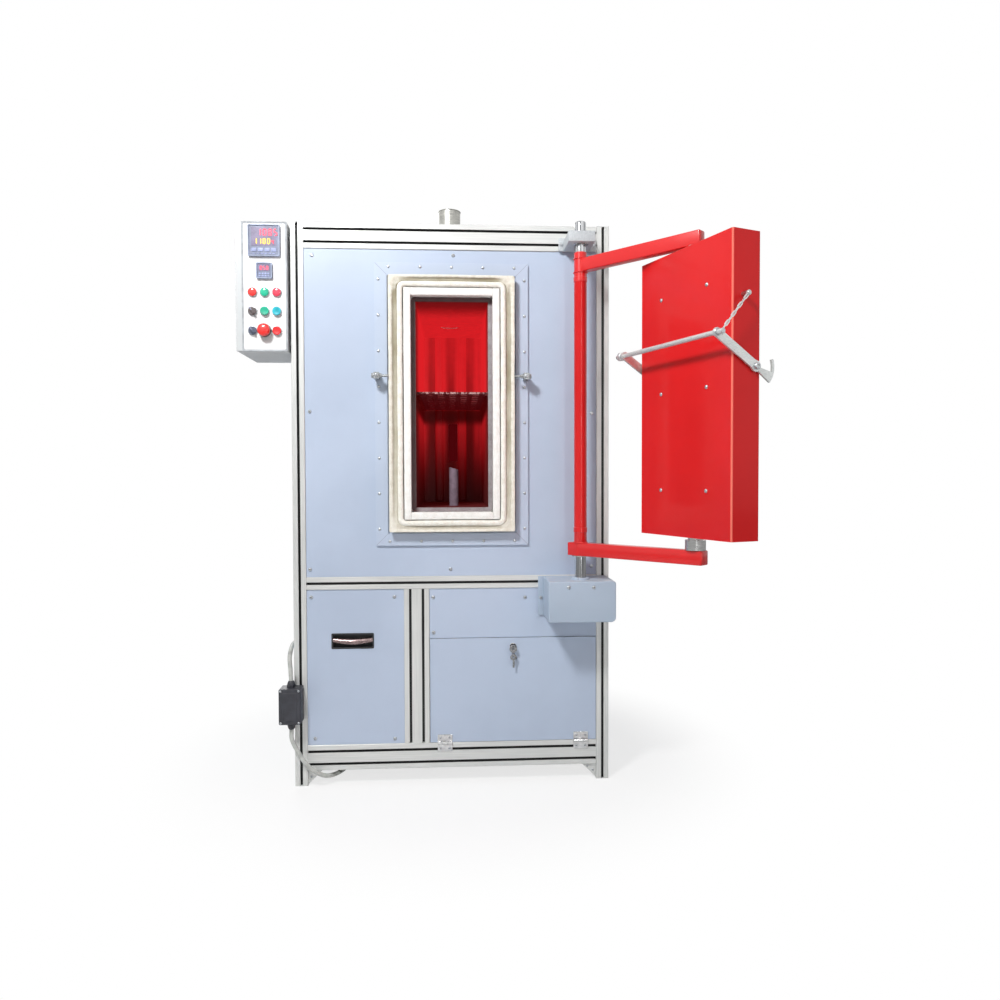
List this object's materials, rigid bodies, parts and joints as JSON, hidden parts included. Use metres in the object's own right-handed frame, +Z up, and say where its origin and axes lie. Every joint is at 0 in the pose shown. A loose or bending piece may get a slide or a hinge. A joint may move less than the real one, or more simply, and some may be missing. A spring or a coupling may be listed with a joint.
{
  "type": "burnout oven",
  "caption": "Tall cabinet burnout oven with a double-pivoted insulated front door, bail latch, side control box, flue and lower service flap.",
  "frame": {"origin": "middle of the bounding box's bottom face, on the floor, with the door in the pose of the picture", "axes": "+Z up, -Y out of the front, +X to the right when facing the front"},
  "size_m": [1.4782, 1.5732, 1.953],
  "materials": {
    "anodised_aluminium": "satin anodised T-slot profile",
    "black_plastic": "black plastic, fine texture",
    "bright_steel": "turned and plated bright steel",
    "button_cyan_plastic": "cyan moulded plastic",
    "button_green_plastic": "green moulded plastic",
    "button_red_plastic": "red moulded plastic",
    "chrome": "bright chrome",
    "cream_ceramic_fibre": "soft ceramic fibre, matte",
    "estop_red": "red moulded plastic",
    "glowing_heat_steel": "oxidised heat-resisting steel, glowing dull red when hot",
    "green_lens": "clear green lens",
    "grey_cable_jacket": "grey cable jacket, matte",
    "grey_ceramic": "unglazed grey ceramic, matte",
    "light_grey_casting": "light grey painted casting",
    "pink_lens": "clear pink-red lens",
    "powder_coat_blue_grey": "fine satin powder coat",
    "red_lens": "clear red lens",
    "red_paint": "glossy red enamel",
    "white_ceramic_fibre": "pressed ceramic fibre board, matte",
    "white_paint": "white satin paint",
    "zinc_sheet": "plated sheet, satin"
  },
  "bodies": {
    "cabinet": {"bearing_cover": "powder_coat_blue_grey", "bottom_rail_front": "anodised_aluminium", "cable_lower": "grey_cable_jacket", "cable_upper": "grey_cable_jacket", "chamber_liner": "glowing_heat_steel", "control_box": "white_paint", "control_plate": "white_paint", "controller_large": "black_plastic", "controller_small": "black_plastic", "divider_post": "anodised_aluminium", "floor_panel": "zinc_sheet", "flue_pipe": "bright_steel", "front_panel": "powder_coat_blue_grey", "gasket_inner": "white_ceramic_fibre", "gasket_outer": "cream_ceramic_fibre", "hinge_shaft": "bright_steel", "insulation_lining": "white_ceramic_fibre", "junction_box": "black_plastic", "keeper_left": "bright_steel", "keeper_right": "bright_steel", "lamp_green": "green_lens", "lamp_pink": "pink_lens", "lamp_red": "red_lens", "left_side_panel": "powder_coat_blue_grey", "lower_bearing_block": "light_grey_casting", "lower_fixed_strip": "powder_coat_blue_grey", "lower_left_panel": "powder_coat_blue_grey", "middle_rail_front": "anodised_aluminium", "opening_flange": "powder_coat_blue_grey", "oven_deck": "zinc_sheet", "post_front_left": "anodised_aluminium", "post_front_right": "anodised_aluminium", "power_unit": "zinc_sheet", "rear_frame": "anodised_aluminium", "rear_panel": "powder_coat_blue_grey", "recessed_handle": "black_plastic", "right_side_panel": "powder_coat_blue_grey", "riser_tube": "grey_ceramic", "shelf_grid": "grey_ceramic", "top_panel": "zinc_sheet", "top_rail_front": "anodised_aluminium", "top_shaft_bracket": "light_grey_casting"},
    "carrier": {"swing_arm": "red_paint", "lower_pivot": "bright_steel", "upper_pivot": "bright_steel"},
    "door": {"door_shell": "red_paint", "door_hot_face": "white_ceramic_fibre"},
    "bail": {"bail_latch": "bright_steel", "bail_grip": "black_plastic"},
    "chain": {"safety_chain": "bright_steel"},
    "flap": {"lower_flap": "powder_coat_blue_grey", "lock_barrel": "chrome"},
    "key_body": {"key": "bright_steel"},
    "selector_upper_body": {"selector_upper": "black_plastic"},
    "selector_lower_body": {"selector_lower": "black_plastic"},
    "green_cap": {"button_green": "button_green_plastic"},
    "cyan_cap": {"button_cyan": "button_cyan_plastic"},
    "red_cap": {"button_red": "button_red_plastic"},
    "stop_head": {"estop_head": "estop_red"}
  },
  "joints": [
    {"name": "carrier_swing", "type": "hinge", "parent": "cabinet", "child": "carrier", "pos_m": [0.31694, -0.25574, 1.2], "axis": [0, 0, 1], "range_deg": [-133.6, 10]},
    {"name": "door_turn", "type": "hinge", "parent": "carrier", "child": "door", "pos_m": [0.58866, -0.54107, 1.2], "axis": [0, 0, 1], "range_deg": [-15.3, 202.7]},
    {"name": "bail_lift", "type": "hinge", "parent": "door", "child": "bail", "pos_m": [0.61106, -0.53246, 1.251], "axis": [0.3584, -0.9336, 0], "range_deg": [0, 60]},
    {"name": "chain_swing", "type": "hinge", "parent": "door", "child": "chain", "pos_m": [0.65494, -0.74752, 1.4274], "axis": [0.3584, -0.9336, 0], "range_deg": [0, 40.4]},
    {"name": "flap_open", "type": "hinge", "parent": "cabinet", "child": "flap", "pos_m": [-0.07705, -0.17074, 0.129], "axis": [1, 0, 0], "range_deg": [0, 100]},
    {"name": "key_turn", "type": "hinge", "parent": "flap", "child": "key_body", "pos_m": [0.11395, -0.17074, 0.436], "axis": [0, -1, 0], "range_deg": [0, 90]},
    {"name": "selector_upper_turn", "type": "hinge", "parent": "cabinet", "child": "selector_upper_body", "pos_m": [-0.68705, -0.18604, 1.488], "axis": [0, -1, 0], "range_deg": [-45, 45]},
    {"name": "selector_lower_turn", "type": "hinge", "parent": "cabinet", "child": "selector_lower_body", "pos_m": [-0.68705, -0.18604, 1.428], "axis": [0, -1, 0], "range_deg": [-45, 45]},
    {"name": "green_press", "type": "slide", "parent": "cabinet", "child": "green_cap", "axis": [0, 1, 0], "range_m": [0, 0.003], "stiffness_N_per_m": 300},
    {"name": "cyan_press", "type": "slide", "parent": "cabinet", "child": "cyan_cap", "axis": [0, 1, 0], "range_m": [0, 0.003], "stiffness_N_per_m": 300},
    {"name": "red_press", "type": "slide", "parent": "cabinet", "child": "red_cap", "axis": [0, 1, 0], "range_m": [0, 0.003], "stiffness_N_per_m": 300},
    {"name": "stop_press", "type": "slide", "parent": "cabinet", "child": "stop_head", "axis": [0, 1, 0], "range_m": [0, 0.005], "stiffness_N_per_m": 400}
  ],
  "couplings": [
    {"joint": "door_turn", "follows": "carrier_swing", "ratio": -1.5165},
    {"joint": "chain_swing", "follows": "bail_lift", "ratio": 0.672}
  ]
}
